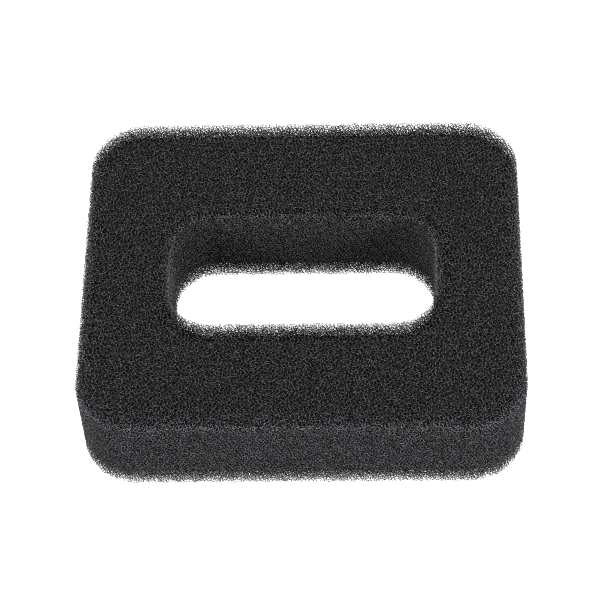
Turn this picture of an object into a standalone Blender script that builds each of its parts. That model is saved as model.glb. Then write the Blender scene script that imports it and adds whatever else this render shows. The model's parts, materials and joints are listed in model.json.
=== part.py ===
"""Foam air filter element of a small engine.

One block of open-cell foam, cut from sheet: a rounded rectangle with a rounded slot through its middle.
The block's solid is its outer envelope. It stands on its seat face at Z = 0, its length along X.
"""

import math

import bpy

MM = 0.001

# The block, as cut from the sheet.
LENGTH = 107.0 * MM
WIDTH = 91.0 * MM
THICKNESS = 25.0 * MM
CORNER_RADIUS = 13.5 * MM

# The slot through the middle, which drops over the raised rib and cover stud of the air cleaner's base.
SLOT_LENGTH = 65.0 * MM
SLOT_WIDTH = 32.0 * MM
SLOT_CORNER_RADIUS = 10.5 * MM

# Flats along a quarter circle: enough to keep each corner within 0.01 mm of its arc.
ARC_STEPS = 24

FOAM_COLOUR = (0.022, 0.021, 0.024, 1.0)
FOAM_ROUGHNESS = 0.9


def clear_scene():
    for leftover in list(bpy.data.objects):
        bpy.data.objects.remove(leftover)


def make_collection(name):
    collection = bpy.data.collections.new(name)
    bpy.context.scene.collection.children.link(collection)
    return collection


def foam_material():
    """Charcoal foam: dark, matt and not metallic."""
    material = bpy.data.materials.new("charcoal_foam")
    material.use_nodes = True
    shader = material.node_tree.nodes["Principled BSDF"]
    shader.inputs["Base Color"].default_value = FOAM_COLOUR
    shader.inputs["Roughness"].default_value = FOAM_ROUGHNESS
    shader.inputs["Metallic"].default_value = 0.0
    return material


def rounded_rectangle(length, width, radius):
    """Points anticlockwise round a rectangle on the origin whose corners are quarter circles."""
    points = []
    for quarter, (side_x, side_y) in enumerate(((1, 1), (-1, 1), (-1, -1), (1, -1))):
        centre_x = side_x * (length / 2 - radius)
        centre_y = side_y * (width / 2 - radius)
        for step in range(ARC_STEPS + 1):
            angle = (quarter + step / ARC_STEPS) * math.pi / 2
            points.append((centre_x + radius * math.cos(angle), centre_y + radius * math.sin(angle)))
    return points


def add_closed_spline(curve, points):
    spline = curve.splines.new("POLY")
    spline.points.add(len(points) - 1)
    for place, (x, y) in zip(spline.points, points):
        place.co = (x, y, 0.0, 1.0)
    spline.use_cyclic_u = True


def make_foam_element(collection):
    """A filled flat outline with the slot as its hole, extruded by half the thickness each way."""
    curve = bpy.data.curves.new("foam_element", "CURVE")
    curve.dimensions = "2D"
    curve.fill_mode = "BOTH"
    curve.extrude = THICKNESS / 2
    add_closed_spline(curve, rounded_rectangle(LENGTH, WIDTH, CORNER_RADIUS))
    add_closed_spline(curve, rounded_rectangle(SLOT_LENGTH, SLOT_WIDTH, SLOT_CORNER_RADIUS))
    curve.materials.append(foam_material())
    element = bpy.data.objects.new("foam_element", curve)
    element.location.z = THICKNESS / 2
    collection.objects.link(element)
    return element


def main():
    clear_scene()
    parts = make_collection("foam_air_filter_element")
    make_foam_element(parts)


main()
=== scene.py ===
# %% [markdown]
# # An open-cell foam filter element
# The real object is one block of charcoal polyurethane foam, cut from flat
# sheet with a die, with a long rounded opening through its middle. Open-cell
# foam is a froth of bubbles whose skins were burned away, so that only the
# thin struts between the bubbles are left. Air passes between them, and dust
# sticks to them. This lesson builds those struts, one by one.

# %% Load the frame
import itertools
import json
import math

import bpy
import numpy as np
from mathutils import Matrix, Vector

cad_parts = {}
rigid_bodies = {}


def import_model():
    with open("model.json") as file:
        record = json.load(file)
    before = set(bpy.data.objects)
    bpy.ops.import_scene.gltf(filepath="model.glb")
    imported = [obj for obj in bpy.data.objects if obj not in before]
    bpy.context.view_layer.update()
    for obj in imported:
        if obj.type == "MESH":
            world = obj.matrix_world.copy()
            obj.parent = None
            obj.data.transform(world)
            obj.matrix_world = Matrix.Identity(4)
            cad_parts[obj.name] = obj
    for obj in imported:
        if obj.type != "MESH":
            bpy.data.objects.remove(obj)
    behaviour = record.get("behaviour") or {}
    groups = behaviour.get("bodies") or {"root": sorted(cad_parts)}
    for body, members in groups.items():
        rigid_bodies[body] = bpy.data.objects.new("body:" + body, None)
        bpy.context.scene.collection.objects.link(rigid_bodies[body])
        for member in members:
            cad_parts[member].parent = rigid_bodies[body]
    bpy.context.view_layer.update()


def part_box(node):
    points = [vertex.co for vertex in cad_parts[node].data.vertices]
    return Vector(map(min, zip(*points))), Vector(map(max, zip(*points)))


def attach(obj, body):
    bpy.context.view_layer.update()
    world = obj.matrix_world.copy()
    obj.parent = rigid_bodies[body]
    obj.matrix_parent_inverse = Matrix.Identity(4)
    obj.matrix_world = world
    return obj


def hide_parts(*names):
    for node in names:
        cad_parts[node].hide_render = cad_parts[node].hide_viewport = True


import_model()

MM = 0.001
scene = bpy.context.scene

# %% [markdown]
# ## The cut block
# The block's outside size comes from the CAD model, and so do the corners'
# rounding and the opening. Every cut is square to the sheet, so how deep any
# point lies in the foam is four plain distances: to the top, to the bottom,
# to the outer edge and to the opening.

# %% Measure how deep a point lies in the foam
low, high = (np.array(c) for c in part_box("foam_element"))
LENGTH, WIDTH, THICKNESS = high - low
CORNER_RADIUS = 13.5 * MM
SLOT_LENGTH, SLOT_WIDTH, SLOT_RADIUS = 65.0 * MM, 32.0 * MM, 10.5 * MM
FACES = ("top", "bottom", "outer", "opening")


def outside_of(x, y, length, width, radius):
    """How far a point is outside a rounded rectangle; negative inside."""
    over_x = np.abs(x) - (length / 2 - radius)
    over_y = np.abs(y) - (width / 2 - radius)
    corner = np.hypot(np.maximum(over_x, 0), np.maximum(over_y, 0))
    return corner + np.minimum(np.maximum(over_x, over_y), 0) - radius


def depths(points):
    """Each point's depth under the four cut faces, in the order of FACES."""
    x, y, z = points.T
    outer = -outside_of(x, y, LENGTH, WIDTH, CORNER_RADIUS)
    opening = outside_of(x, y, SLOT_LENGTH, SLOT_WIDTH, SLOT_RADIUS)
    return np.stack([THICKNESS - z, z, outer, opening], -1)


print("block in mm:", np.round(np.array((LENGTH, WIDTH, THICKNESS)) / MM, 2))

# %% [markdown]
# ## A froth of bubbles
# Bubbles of one size pack like the points of a body-centred cubic grid: one
# at each corner of a cube and one in its middle. Where four bubbles meet
# there is a joint, and each joint has four struts. In one cube the joints lie
# at twelve places, and a short search finds the four bubbles and the four
# next joints round each of them.

# %% Find each joint's bubbles and neighbours
CUBE = 1.10 * MM  # holds two bubbles, so a cell is about 1 mm across
TO_BUBBLES, TO_JOINTS = 5 / 16, 1 / 8  # squared distances from a joint
SAME = 1e-6
BUBBLES = np.array([(0, 0, 0), (0.5, 0.5, 0.5)])
JOINTS = np.array([
    p for k in (0.25, 0.75)
    for p in ((0, 0.5, k), (k, 0, 0.5), (0.5, k, 0),
              (0.5, 0, k), (k, 0.5, 0), (0, k, 0.5))
])


def spots_near(point, spots, distance_squared):
    """(spot's number, whole cubes away) for each spot so far from point."""
    return [
        (i, away)
        for i, spot in enumerate(spots)
        for away in itertools.product(range(-2, 3), repeat=3)
        if abs(((spot + away - point) ** 2).sum() - distance_squared) < SAME
    ]


bubbles_round = [spots_near(p, BUBBLES, TO_BUBBLES) for p in JOINTS]
joints_round = [spots_near(p, JOINTS, TO_JOINTS) for p in JOINTS]
print("bubbles and struts at each joint:",
      {(len(b), len(j)) for b, j in zip(bubbles_round, joints_round)})

# %% [markdown]
# ## Where the struts are needed
# A strut deep inside the block is never seen, so the froth is only built in a
# thin layer under each cut face. Along the edges, where light shines right
# through the foam, it goes deeper. The grid is also turned out of line with
# the faces, because a regular grid cut along its rows would show stripes.

# %% Choose the cubes to fill
SKIN = 0.52 * MM  # depth of real struts under a face
EDGE_DEPTH = 5.3 * MM  # depths under two faces at an edge, added up
MARGIN = 1.4 * CUBE  # whole cubes are kept a little past both depths
TURNS = (("Z", 0.55), ("X", 0.42), ("Y", 0.31))  # radians, out of line
SPARE = 2  # cubes added all round


def under_skin(depth, skin, edge_depth):
    """Which points lie in the layer under a face, or near an edge."""
    edge = depth[:, :2].min(-1) + depth[:, 2:].min(-1)
    return (depth.min(-1) < skin) | (edge < edge_depth)


corners = np.array(list(itertools.product(
    (-LENGTH / 2, LENGTH / 2), (-WIDTH / 2, WIDTH / 2),
    (-THICKNESS / 2, THICKNESS / 2))))
turn = np.linalg.multi_dot(
    [np.array(Matrix.Rotation(angle, 3, axis)) for axis, angle in TURNS])
half_grid = np.ceil(np.abs(corners @ turn).max(0) / CUBE).astype(int) + SPARE
grid = 2 * half_grid


def placed(cubes):
    """Points counted in cubes, as places in the block."""
    return (cubes - half_grid) * CUBE @ turn.T + (0, 0, THICKNESS / 2)


every_cube = np.indices(grid).reshape(3, -1).T
depth = depths(placed(every_cube + 0.5))
wanted = (depth > -MARGIN).all(-1) & under_skin(
    depth, SKIN + MARGIN, EDGE_DEPTH + 2 * MARGIN)
cubes = every_cube[wanted]
print(f"cubes filled: {len(cubes)} of {len(every_cube)}")

# %% [markdown]
# ## Uneven bubbles
# Real bubbles differ in size, so each bubble's centre is moved a little, and
# each joint follows the four bubbles round it. The joints move together in
# this way, and no cell collapses. The random numbers have a fixed seed, so
# that every run makes the same foam.

# %% Place the joints and connect them
UNEVEN = 0.16  # how far a bubble moves, in cubes
FOLLOW = 1 / 2.2  # how much of its bubbles' moves a joint takes up
FROTH_SEED = 7
random = np.random.default_rng(FROTH_SEED)
bubble_moves = random.normal(
    0, UNEVEN, (len(BUBBLES), *(grid + 2 * SPARE), 3))

joint_number = np.full((len(JOINTS), *grid), -1)
joint_places = []
for kind, (spot, bubbles) in enumerate(zip(JOINTS, bubbles_round)):
    moved = sum(bubble_moves[(b, *(cubes + SPARE + away).T)]
                for b, away in bubbles)
    joint_places.append(placed(cubes + spot + moved * FOLLOW))
    joint_number[(kind, *cubes.T)] = kind * len(cubes) + np.arange(len(cubes))
joint_places = np.concatenate(joint_places)

pairs = []
for kind, neighbours in enumerate(joints_round):
    for other, away in neighbours:
        beside = cubes + away
        there = ((beside >= 0) & (beside < grid)).all(-1)
        first = joint_number[(kind, *cubes[there].T)]
        second = joint_number[(other, *beside[there].T)]
        once = second > first  # each strut is met from both its ends
        pairs.append(np.stack([first[once], second[once]], -1))
pairs = np.concatenate(pairs)
print(f"joints: {len(joint_places)}, struts before the cut: {len(pairs)}")

# %% [markdown]
# ## The die's cut
# The die slices straight through the struts, so their ends all lie in the cut
# faces. That is why the block has crisp flat sides although the foam is
# rough. Each strut with one end outside is shortened to the face it crosses,
# and crumbs too short to see are dropped.

# %% Cut the struts off at the faces
CRUMB = 0.08 * CUBE
TINY = 1e-12  # keeps a division away from nought


def cut_struts(starts, ends):
    """The struts' ends after the cut, and their middles' depths."""
    inner, outer = depths(starts).min(-1), depths(ends).min(-1)
    swap = (inner < outer)[:, None]
    starts, ends = np.where(swap, ends, starts), np.where(swap, starts, ends)
    inner, outer = np.maximum(inner, outer), np.minimum(inner, outer)
    held = inner > 0
    starts, ends = starts[held], ends[held]
    inner, outer = inner[held], outer[held]
    share = np.where(outer < 0, inner / np.maximum(inner - outer, TINY), 1)
    ends = starts + (ends - starts) * share[:, None]
    middle = depths((starts + ends) / 2)
    long_enough = np.linalg.norm(ends - starts, axis=1) > CRUMB
    keep = long_enough & under_skin(middle, SKIN, EDGE_DEPTH)
    return starts[keep], ends[keep], middle[keep]


starts, ends, middle_depth = cut_struts(*joint_places[pairs.T])
length = np.linalg.norm(ends - starts, axis=1)
print(f"struts: {len(starts)}, mean length {length.mean() / MM:.2f} mm")

# %% [markdown]
# ## Wiring node trees
# A node tree is a set of nodes, each with a few settings, some values typed
# into its inputs and some wires from other nodes. One small helper does all
# of that in a line. The strut tree, the materials and the sky all use it.

# %% Two helpers that add and wire nodes
def add_node(tree, kind, settings=None, **values):
    """A node with its settings made and its inputs set or linked.

    An input is called by its name, or by i and its number where several
    inputs of the node share one name.
    """
    node = tree.nodes.new(kind)
    for name, value in (settings or {}).items():
        setattr(node, name, value)
    for name, value in values.items():
        numbered = name[0] == "i" and name[1:].isdigit()
        key = int(name[1:]) if numbered else name.replace("_", " ")
        if isinstance(value, bpy.types.NodeSocket):
            tree.links.new(value, node.inputs[key])
        else:
            node.inputs[key].default_value = value
    return node


def math_node(tree, operation, a, b):
    """The result of one sum on two numbers or sockets."""
    kind = {"operation": operation}
    return add_node(tree, "ShaderNodeMath", kind, i0=a, i1=b).outputs[0]


print("helpers:", add_node.__name__, math_node.__name__)

# %% [markdown]
# ## One strut
# A foam strut is a sliver about as thick as a hair, three-sided in section,
# and it is repeated several hundred thousand times. So it has as few faces as
# a solid can have: four. Geometry Nodes takes a cube, pinches its top to one
# line and its bottom to another that crosses it, and merges the corners that
# have met.

# %% The sliver
PINCHED = 0.01  # corners of the cube closer than this have met


def sliver(tree):
    """A closed sliver with four faces, one unit long and wide."""
    cube = add_node(tree, "GeometryNodeMeshCube", Size=(1, 1, 1))
    place = tree.nodes.new("GeometryNodeInputPosition").outputs[0]
    part = add_node(tree, "ShaderNodeSeparateXYZ", Vector=place).outputs
    on_top = add_node(tree, "FunctionNodeCompare",
                      {"operation": "GREATER_THAN"}, i0=part["Z"], i1=0.0)
    along_x = add_node(tree, "ShaderNodeCombineXYZ", X=part["X"], Z=part["Z"])
    along_y = add_node(tree, "ShaderNodeCombineXYZ", Y=part["Y"], Z=part["Z"])
    pinch = add_node(tree, "GeometryNodeSwitch", {"input_type": "VECTOR"},
                     Switch=on_top.outputs[0], **{"True": along_x.outputs[0],
                                                  "False": along_y.outputs[0]})
    pinched = add_node(tree, "GeometryNodeSetPosition",
                       Geometry=cube.outputs["Mesh"],
                       Position=pinch.outputs[0])
    merged = add_node(tree, "GeometryNodeMergeByDistance",
                      Geometry=pinched.outputs[0], Distance=PINCHED)
    return merged.outputs[0]


print("sliver:", sliver.__doc__)

# %% [markdown]
# ## A strut on every edge
# The tree is given a wire mesh with one edge for each strut. It puts a point
# in the middle of each edge, and on it a sliver that is turned along the
# edge, stretched to its length, and rolled and widened at random, so that no
# two struts are alike. The slivers then become one real mesh.

# %% The strut tree
STRUT_WIDTH = 0.146 * MM
OVERLAP = 1.04  # a strut is a little long, so that it runs into the next
WIDTH_SEED_STEP = 11.0  # keeps the widths' draw apart from the rolls' draw


def edge_middles(tree, wire):
    """A point in the middle of each edge, and the way along that edge."""
    tips = tree.nodes.new("GeometryNodeInputMeshEdgeVertices").outputs
    along = add_node(tree, "ShaderNodeVectorMath", {"operation": "SUBTRACT"},
                     i0=tips["Position 2"], i1=tips["Position 1"])
    caught = tree.nodes.new("GeometryNodeCaptureAttribute")
    caught.domain = "EDGE"
    caught.capture_items.new("VECTOR", "Along")
    tree.links.new(wire, caught.inputs["Geometry"])
    tree.links.new(along.outputs[0], caught.inputs["Along"])
    points = add_node(tree, "GeometryNodeMeshToPoints", {"mode": "EDGES"},
                      Mesh=caught.outputs["Geometry"])
    return points.outputs[0], caught.outputs["Along"]


def strut_turn(tree, along, seed):
    """A rotation that lays the sliver along its edge, with a random roll."""
    aligned = add_node(tree, "FunctionNodeAlignRotationToVector",
                       {"axis": "Z"}, Vector=along)
    angle = add_node(tree, "FunctionNodeRandomValue", {"data_type": "FLOAT"},
                     i2=0.0, i3=math.pi, Seed=seed)
    roll = add_node(tree, "FunctionNodeAxisAngleToRotation", Axis=(0, 0, 1),
                    Angle=angle.outputs[1])
    turn = add_node(tree, "FunctionNodeRotateRotation",
                    {"rotation_space": "LOCAL"}, Rotation=aligned.outputs[0],
                    Rotate_By=roll.outputs[0])
    return turn.outputs[0]


def strut_size(tree, along, mean_width, spread, seed):
    """A scale that gives the sliver its edge's length and a random width."""
    share = add_node(tree, "FunctionNodeRandomValue", {"data_type": "FLOAT"},
                     i2=math_node(tree, "SUBTRACT", 1.0, spread),
                     i3=math_node(tree, "ADD", 1.0, spread),
                     Seed=math_node(tree, "ADD", seed, WIDTH_SEED_STEP))
    width = math_node(tree, "MULTIPLY", share.outputs[1], mean_width)
    span = add_node(tree, "ShaderNodeVectorMath", {"operation": "LENGTH"},
                    i0=along).outputs["Value"]
    size = add_node(tree, "ShaderNodeCombineXYZ", X=width, Y=width,
                    Z=math_node(tree, "MULTIPLY", span, OVERLAP))
    return size.outputs[0]


def strut_tree():
    """The whole tree, and the identifier of each of its inputs."""
    tree = bpy.data.node_groups.new("foam_struts", "GeometryNodeTree")
    face = tree.interface
    face.new_socket("Geometry", in_out="OUTPUT",
                    socket_type="NodeSocketGeometry")
    sockets = {
        name: face.new_socket(name, in_out="INPUT",
                              socket_type="NodeSocket" + kind).identifier
        for name, kind in (("Geometry", "Geometry"), ("Strut Width", "Float"),
                           ("Width Variation", "Float"), ("Seed", "Int"),
                           ("Material", "Material"))
    }
    given = tree.nodes.new("NodeGroupInput").outputs
    points, along = edge_middles(tree, given["Geometry"])
    struts = add_node(tree, "GeometryNodeInstanceOnPoints", Points=points,
                      Instance=sliver(tree),
                      Rotation=strut_turn(tree, along, given["Seed"]),
                      Scale=strut_size(tree, along, given["Strut Width"],
                                       given["Width Variation"],
                                       given["Seed"]))
    struts = add_node(tree, "GeometryNodeRealizeInstances",
                      Geometry=struts.outputs[0])
    struts = add_node(tree, "GeometryNodeSetMaterial",
                      Geometry=struts.outputs[0], Material=given["Material"])
    out = tree.nodes.new("NodeGroupOutput")
    tree.links.new(struts.outputs[0], out.inputs["Geometry"])
    return tree, sockets


struts, socket = strut_tree()
print("strut tree:", len(struts.nodes), "nodes, inputs", list(socket))

# %% [markdown]
# ## The foam's colour
# The foam is dyed through with carbon black, but it doesn't look evenly
# black. The struts further in lie in the shade of those above them, and those
# along an edge catch light from two sides. Three things are multiplied to
# paint
# that into the colour: a tone of the strut's own, a painted share of light
# from its place in the block, and a cell pattern in three dimensions, with
# painted light at the cells' edges and painted shade in their gaps. The
# pattern makes the cells read from a distance, where single struts are too
# fine to be seen.

# %% The struts' material
FOAM_TINT = (1.0, 0.96, 1.05)  # carbon black with a trace of violet
STRUT_TONE = 0.052  # how much light a strut throws back, on a scale to 1
TONE_SPREAD = 0.2  # how far a strut's tone is from the mean, either way
PATTERN_CELL = 0.76 * MM
PATTERN_UNEVEN = 0.55
PATTERN_TURN = (0.6, 0.35, 0.9)  # out of line with the cut faces
# The cell pattern is painted light and shade: light on the cells' edges, shade
# in their gaps.
CELL_EDGE, CELL_GAP = 0.05, 0.30  # distances in cells: fully light, fully dark
PAINTED_LIGHT_AT_EDGE, PAINTED_SHADE_AT_GAP = 2.3, 0.1  # what the tone is multiplied by there
STRUT_ROUGHNESS = 0.5
STRUT_SHINE = 0.1


def tinted(tree, amount):
    """A grey amount turned into the foam's colour."""
    colour = add_node(tree, "ShaderNodeVectorMath", {"operation": "SCALE"},
                      i0=FOAM_TINT, Scale=amount)
    return colour.outputs[0]


def cell_edges(tree):
    """How far the shaded point is from the nearest edge of a cell pattern."""
    place = tree.nodes.new("ShaderNodeTexCoord").outputs["Object"]
    place = add_node(tree, "ShaderNodeMapping", Vector=place,
                     Rotation=PATTERN_TURN)
    return add_node(tree, "ShaderNodeTexVoronoi",
                    {"feature": "DISTANCE_TO_EDGE"}, Vector=place.outputs[0],
                    Scale=1 / PATTERN_CELL, Randomness=PATTERN_UNEVEN
                    ).outputs["Distance"]


def strut_material():
    """Tone, painted light and a painted cell pattern, with a faint satin
    shine.
    """
    material = bpy.data.materials.new("charcoal_struts_painted_light_and_shade")
    material.use_nodes = True
    tree = material.node_tree
    shader = tree.nodes["Principled BSDF"]
    # Painted shade with depth and painted glow at the edges, kept on each
    # strut
    light = add_node(tree, "ShaderNodeAttribute", {"attribute_name": "light"})
    tone = add_node(tree, "ShaderNodeAttribute", {"attribute_name": "tone"})
    tone = add_node(tree, "ShaderNodeMapRange", Value=tone.outputs["Fac"],
                    To_Min=STRUT_TONE * (1 - TONE_SPREAD),
                    To_Max=STRUT_TONE * (1 + TONE_SPREAD))
    amount = math_node(tree, "MULTIPLY", tone.outputs[0], light.outputs["Fac"])
    # Painted light at the cells' edges and painted shade in their gaps.
    cell_light_and_shade = add_node(tree, "ShaderNodeMapRange", Value=cell_edges(tree),
                     From_Min=CELL_EDGE, From_Max=CELL_GAP,
                     To_Min=PAINTED_LIGHT_AT_EDGE, To_Max=PAINTED_SHADE_AT_GAP)
    amount = math_node(tree, "MULTIPLY", amount, cell_light_and_shade.outputs[0])
    tree.links.new(tinted(tree, amount), shader.inputs["Base Color"])
    shader.inputs["Roughness"].default_value = STRUT_ROUGHNESS
    shader.inputs["Specular IOR Level"].default_value = STRUT_SHINE
    return material


strut_look = strut_material()
print("struts' material:", len(strut_look.node_tree.nodes), "nodes")

# %% [markdown]
# ## The light and shade painted on each strut
# Each strut's colour is painted darker with its depth under the nearest cut
# face, as light falls off quickly there. At an edge two faces meet, and light
# that comes in through both of them is painted on as a glow. The painted glow
# is narrower round the opening, which lies in its own shade.

# %% Work out each strut's painted light and shade, and its tone
# Painted into the struts' colour: shade with depth, and glows at the edges
LIGHT_REACH = 0.50 * MM
LIGHT_LEFT = 0.20  # the share that is left far in
EDGE_GLOW, OPENING_GLOW = 0.8, 0.8
EDGE_REACH, OPENING_REACH = 1.5 * MM, 0.8 * MM

top_depth, bottom_depth, outer_depth, opening_depth = middle_depth.T
flat_depth = np.minimum(top_depth, bottom_depth)
# Painted light: shade with depth, glow along the edges and round the opening
light = (LIGHT_LEFT
         + (1 - LIGHT_LEFT) * np.exp(-middle_depth.min(-1) / LIGHT_REACH)
         + EDGE_GLOW * np.exp(-(flat_depth + outer_depth) / EDGE_REACH)
         + OPENING_GLOW * np.exp(-(flat_depth + opening_depth)
                                 / OPENING_REACH))
tone = random.random(len(starts))
print(f"light: {light.min():.2f} to {light.max():.2f}")

# %% [markdown]
# ## The struts, zone by zone
# The struts are made in zones, one for each quarter of the block under each
# face, so that no mesh grows too large. In each zone the wire mesh has one
# edge for each strut. It also carries two numbers for each strut, its painted
# light and shade and its tone, which the struts keep for the material to read.

# %% Build the zones
WIDTH_VARIATION = 0.25  # how much wider or narrower than the mean a strut is
FIRST_SEED = 3
zone_face = middle_depth.argmin(-1)
middle = (starts + ends) / 2
diagonal = np.abs(middle[:, 0]) / LENGTH > np.abs(middle[:, 1]) / WIDTH


def wire_mesh(chosen):
    """A loose wire mesh with one edge for each chosen strut."""
    count = int(chosen.sum())
    wire = bpy.data.meshes.new("wire")
    wire.vertices.add(2 * count)
    wire.edges.add(count)
    tips = np.stack([starts[chosen], ends[chosen]], 1)
    wire.vertices.foreach_set("co", tips.astype(np.float32).ravel())
    wire.edges.foreach_set("vertices", np.arange(2 * count, dtype=np.int32))
    # Painted light and shade, and each strut's own tone
    for name, values in (("light", light), ("tone", tone)):
        layer = wire.attributes.new(name, "FLOAT", "EDGE")
        layer.data.foreach_set("value", values[chosen].astype(np.float32))
    return wire


def strut_piece(name, chosen, seed):
    """The chosen struts as one plain mesh object."""
    piece = bpy.data.objects.new(name, wire_mesh(chosen))
    scene.collection.objects.link(piece)
    nodes = piece.modifiers.new("struts", "NODES")
    nodes.node_group = struts
    for key, value in (("Strut Width", STRUT_WIDTH),
                       ("Width Variation", WIDTH_VARIATION),
                       ("Seed", seed), ("Material", strut_look)):
        nodes[socket[key]] = value
    graph = bpy.context.evaluated_depsgraph_get()
    mesh = bpy.data.meshes.new_from_object(piece.evaluated_get(graph),
                                           depsgraph=graph)
    wire = piece.data
    piece.modifiers.clear()
    piece.data = mesh
    bpy.data.meshes.remove(wire)
    mesh.name = name
    mesh.shade_smooth()
    print(f"{name}: {chosen.sum()} struts, {len(mesh.polygons)} faces")
    return piece


def quarter(face):
    """Each strut's zone: a compass quarter on flat faces, a side on walls."""
    if face in ("top", "bottom"):
        return (middle[:, 0] > 0) + 2 * (middle[:, 1] > 0), \
            ("front_left", "front_right", "back_left", "back_right")
    side = np.where(diagonal, (middle[:, 0] > 0).astype(int),
                    2 + (middle[:, 1] > 0))
    return side, ("left", "right", "front", "back")


pieces = []
for number, face in enumerate(FACES):
    zone, names = quarter(face)
    for index, where in enumerate(names):
        chosen = (zone_face == number) & (zone == index)
        pieces.append(strut_piece(f"cells_{face}_{where}", chosen,
                                  FIRST_SEED + len(pieces)))
print("struts' faces in all:", sum(len(p.data.polygons) for p in pieces))

# %% [markdown]
# ## The foam behind them
# A few cells in, so many struts overlap that the eye meets a dark wall. One
# closed solid stands for that wall, and its darkness is painted shade. It lies
# just under the layer of struts and is cut back at forty-five degrees along
# every edge, so that light still shines through the struts at the edges, as it
# does through the real foam.

# %% The core's shape
CORE_UNDER = 0.47 * MM  # a little less than the struts' layer is deep
CORE_CUT_BACK = 5.2 * MM  # depths under two faces at its corners, added up
CORNER_STEPS = 24


def ring(length, width, radius, height):
    """A rounded rectangle of points, anticlockwise from its +X side."""
    points = []
    for turn, (sx, sy) in enumerate(((1, 1), (-1, 1), (-1, -1), (1, -1))):
        x, y = sx * (length / 2 - radius), sy * (width / 2 - radius)
        for step in range(CORNER_STEPS + 1):
            angle = (turn + step / CORNER_STEPS) * math.pi / 2
            points.append((x + radius * math.cos(angle),
                           y + radius * math.sin(angle), height))
    return points


def core_mesh():
    """A closed band of rings: up the outside and down the opening.

    Each ring has its distance in from the wall, its height, and whether it
    is the one in the middle of a cut-back corner, which gets painted light.
    """
    near, far = CORE_UNDER, CORE_CUT_BACK - CORE_UNDER
    half = CORE_CUT_BACK / 2
    # The middle ring of each cut-back corner gets painted light.
    rise = [(far, near, 0), (half, half, 1), (near, far, 0)]
    rise += [(d, THICKNESS - z, light) for d, z, light in reversed(rise)]
    rings = [ring(LENGTH - 2 * d, WIDTH - 2 * d, CORNER_RADIUS - d, z)
             for d, z, _ in rise]
    rings += [ring(SLOT_LENGTH + 2 * d, SLOT_WIDTH + 2 * d, SLOT_RADIUS + d, z)
              for d, z, _ in reversed(rise)]
    lights = [light for *_, light in rise + rise[::-1]]
    size = len(rings[0])
    faces = []
    for k in range(len(rings)):
        here, there = k * size, (k + 1) % len(rings) * size
        for i in range(size):
            j = (i + 1) % size
            faces.append((here + i, here + j, there + j, there + i))
    mesh = bpy.data.meshes.new("foam_core")
    mesh.from_pydata([p for r in rings for p in r], [], faces)
    # Painted light for the core's colour, at the cut-back corners
    layer = mesh.attributes.new("light", "FLOAT", "POINT")
    layer.data.foreach_set("value", np.repeat(lights, size).astype(np.float32))
    return mesh


core = bpy.data.objects.new("foam_core", core_mesh())
scene.collection.objects.link(core)
print("core:", len(core.data.polygons), "faces")

# %% [markdown]
# ## The core's surface
# Seen between the struts, the core has to look like more foam. The same cell
# pattern as on the struts paints fainter, shaded struts of its own, round gaps
# that are painted nearly black as shade. It is computed from the place in the
# block, so it runs on round the edges without a seam, and it stays in step
# with the struts in front. Where the core is cut back, painted light is added,
# as some light still reaches it there.

# %% The core's material
CORE_STRUT, CORE_GAP = 0.05, 0.15  # distances in cells: strut ends, gap starts
# Painted shade: the core's fainter struts and its nearly black gaps
SHADED_CORE_TONE = 0.022
SHADED_GAP_TONE = 0.004
# Painted light where the core is cut back
EDGE_LIGHT = 2.0  # what is added in the middle of the cut-back corner


def core_material():
    """A matt dark cell pattern of painted shade, with painted light where cut
    back.
    """
    material = bpy.data.materials.new("charcoal_foam_inside_painted_light_and_shade")
    material.use_nodes = True
    tree = material.node_tree
    shader = tree.nodes["Principled BSDF"]
    amount = add_node(tree, "ShaderNodeMapRange",
                      {"interpolation_type": "SMOOTHSTEP"},
                      Value=cell_edges(tree),
                      From_Min=CORE_STRUT, From_Max=CORE_GAP,
                      To_Min=SHADED_CORE_TONE, To_Max=SHADED_GAP_TONE)
    # Painted light at the cut-back corners
    light = add_node(tree, "ShaderNodeAttribute", {"attribute_name": "light"})
    light = math_node(tree, "MULTIPLY", light.outputs["Fac"], EDGE_LIGHT)
    light = math_node(tree, "ADD", light, 1.0)
    amount = math_node(tree, "MULTIPLY", amount.outputs[0], light)
    tree.links.new(tinted(tree, amount), shader.inputs["Base Color"])
    shader.inputs["Roughness"].default_value = 1.0
    shader.inputs["Specular IOR Level"].default_value = 0.0
    return material


core.data.materials.append(core_material())
print("core's material:", core.data.materials[0].name)

# %% [markdown]
# ## One body
# The foam is a single piece, so the struts and the core all ride on the one
# body. Together they stand for the plain CAD block, which no longer shows.

# %% Tie the foam to the frame
for piece in [core, *pieces]:
    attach(piece, "root")
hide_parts("foam_element")
print("pieces on the body:", len(pieces) + 1)

# %% [markdown]
# ## The studio
# The foam lies on a plain pale floor that glows a little, as a lit table
# does. The sky is white at the horizon, where it meets the floor, and dimmer
# overhead, so that the walls get more light than the top. Two large soft
# lamps stand in front, one to each side, and light the opening's end walls.

# %% Floor, sky and lamps
FLOOR_SIZE = 8.0
FLOOR_DROP = 0.1 * MM  # just clear of the lowest strut tips
FLOOR_TONE, FLOOR_GLOW = 0.4, 0.9
SKY_LOW, SKY_HIGH = 0.15, 0.7  # sines of the heights where it starts to dim,
SKY_OVERHEAD = 0.3  # and where it has dimmed to this
RIGHT_TURN, LEFT_TURN = math.radians(68), math.radians(-58)
RIGHT_POWER, LEFT_POWER = 16.0, 14.0  # watts
LAMP_HEIGHT = math.radians(24)
LAMP_DISTANCE, LAMP_SIZE = 0.9, 0.5
FILTER_WIDTH = 1.0  # narrower than usual, so that the struts stay crisp


def direction(turn, height):
    """The way from the object: turned from its front, raised off the floor."""
    return Vector((math.sin(turn) * math.cos(height),
                   -math.cos(turn) * math.cos(height), math.sin(height)))


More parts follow.
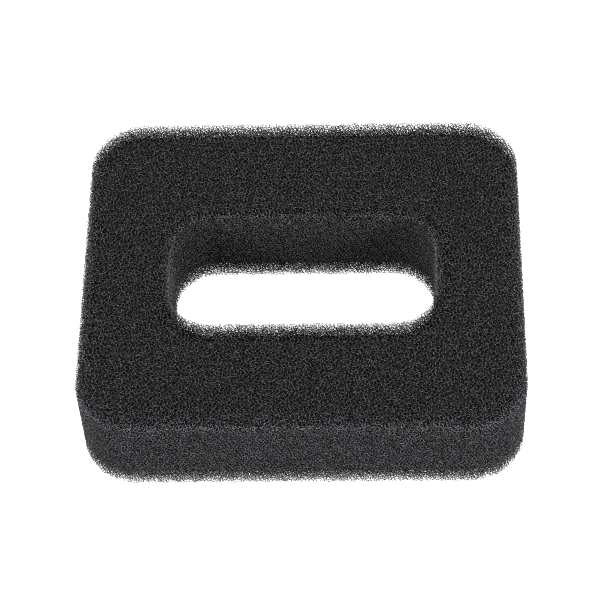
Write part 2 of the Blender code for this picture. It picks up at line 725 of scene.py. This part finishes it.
bpy.ops.mesh.primitive_plane_add(size=FLOOR_SIZE, location=(0, 0, -FLOOR_DROP))
floor = bpy.context.object
floor.name = "floor"
material = bpy.data.materials.new("floor")
material.use_nodes = True
shader = material.node_tree.nodes["Principled BSDF"]
shader.inputs["Base Color"].default_value = (*[FLOOR_TONE] * 3, 1)
shader.inputs["Roughness"].default_value = 1.0
shader.inputs["Specular IOR Level"].default_value = 0.0
shader.inputs["Emission Color"].default_value = (1, 1, 1, 1)
shader.inputs["Emission Strength"].default_value = FLOOR_GLOW
floor.data.materials.append(material)

scene.world = bpy.data.worlds.new("sky")
scene.world.use_nodes = True
tree = scene.world.node_tree
way = tree.nodes.new("ShaderNodeTexCoord").outputs["Generated"]
height = add_node(tree, "ShaderNodeSeparateXYZ", Vector=way).outputs["Z"]
strength = add_node(tree, "ShaderNodeMapRange", Value=height,
                    From_Min=SKY_LOW, From_Max=SKY_HIGH,
                    To_Min=1.0, To_Max=SKY_OVERHEAD)
sky = tree.nodes["Background"]
sky.inputs["Color"].default_value = (1, 1, 1, 1)
tree.links.new(strength.outputs[0], sky.inputs["Strength"])


def soft_lamp(name, turn, power):
    """A square area lamp that points at the foam."""
    lamp = bpy.data.objects.new(name, bpy.data.lights.new(name, "AREA"))
    scene.collection.objects.link(lamp)
    lamp.data.size = LAMP_SIZE
    lamp.data.energy = power
    lamp.location = direction(turn, LAMP_HEIGHT) * LAMP_DISTANCE
    lamp.rotation_euler = (-lamp.location).to_track_quat("-Z", "Y").to_euler()


soft_lamp("lamp_right", RIGHT_TURN, RIGHT_POWER)
soft_lamp("lamp_left", LEFT_TURN, LEFT_POWER)

scene.view_settings.view_transform = "Standard"
scene.cycles.use_denoising = False  # it would smear the struts
scene.cycles.filter_width = FILTER_WIDTH
print("studio: floor, sky and", len(bpy.data.lights), "lamps")

# %% [markdown]
# ## The camera
# A long lens looks down on the foam from the front, a little from the right
# and tilted by a few degrees, from about six tenths of a metre away.

# %% Aim the camera
AIM = Vector((-0.94 * MM, -0.56 * MM, THICKNESS / 2))
CAMERA_TURN, CAMERA_HEIGHT = math.radians(3.286), math.radians(55.117)
CAMERA_TILT, CAMERA_DISTANCE = math.radians(-3.193), 0.5865
LENS, SENSOR = 142.02, 36.0
NEAREST = 0.01  # nothing closer than this is drawn

back = direction(CAMERA_TURN, CAMERA_HEIGHT)
right = Vector((0, 0, 1)).cross(back).normalized()
axes = Matrix((right, back.cross(right), back)).transposed().to_4x4()
camera = bpy.data.objects.new("camera", bpy.data.cameras.new("camera"))
scene.collection.objects.link(camera)
camera.matrix_world = (Matrix.Translation(AIM + back * CAMERA_DISTANCE)
                       @ axes @ Matrix.Rotation(CAMERA_TILT, 4, "Z"))
camera.data.lens = LENS
camera.data.sensor_width = SENSOR
camera.data.clip_start = NEAREST
scene.camera = camera
print("camera at", [round(v, 4) for v in camera.matrix_world.translation])

# %% [markdown]
# ## The size
# The built foam has to fill the same box as the CAD block.
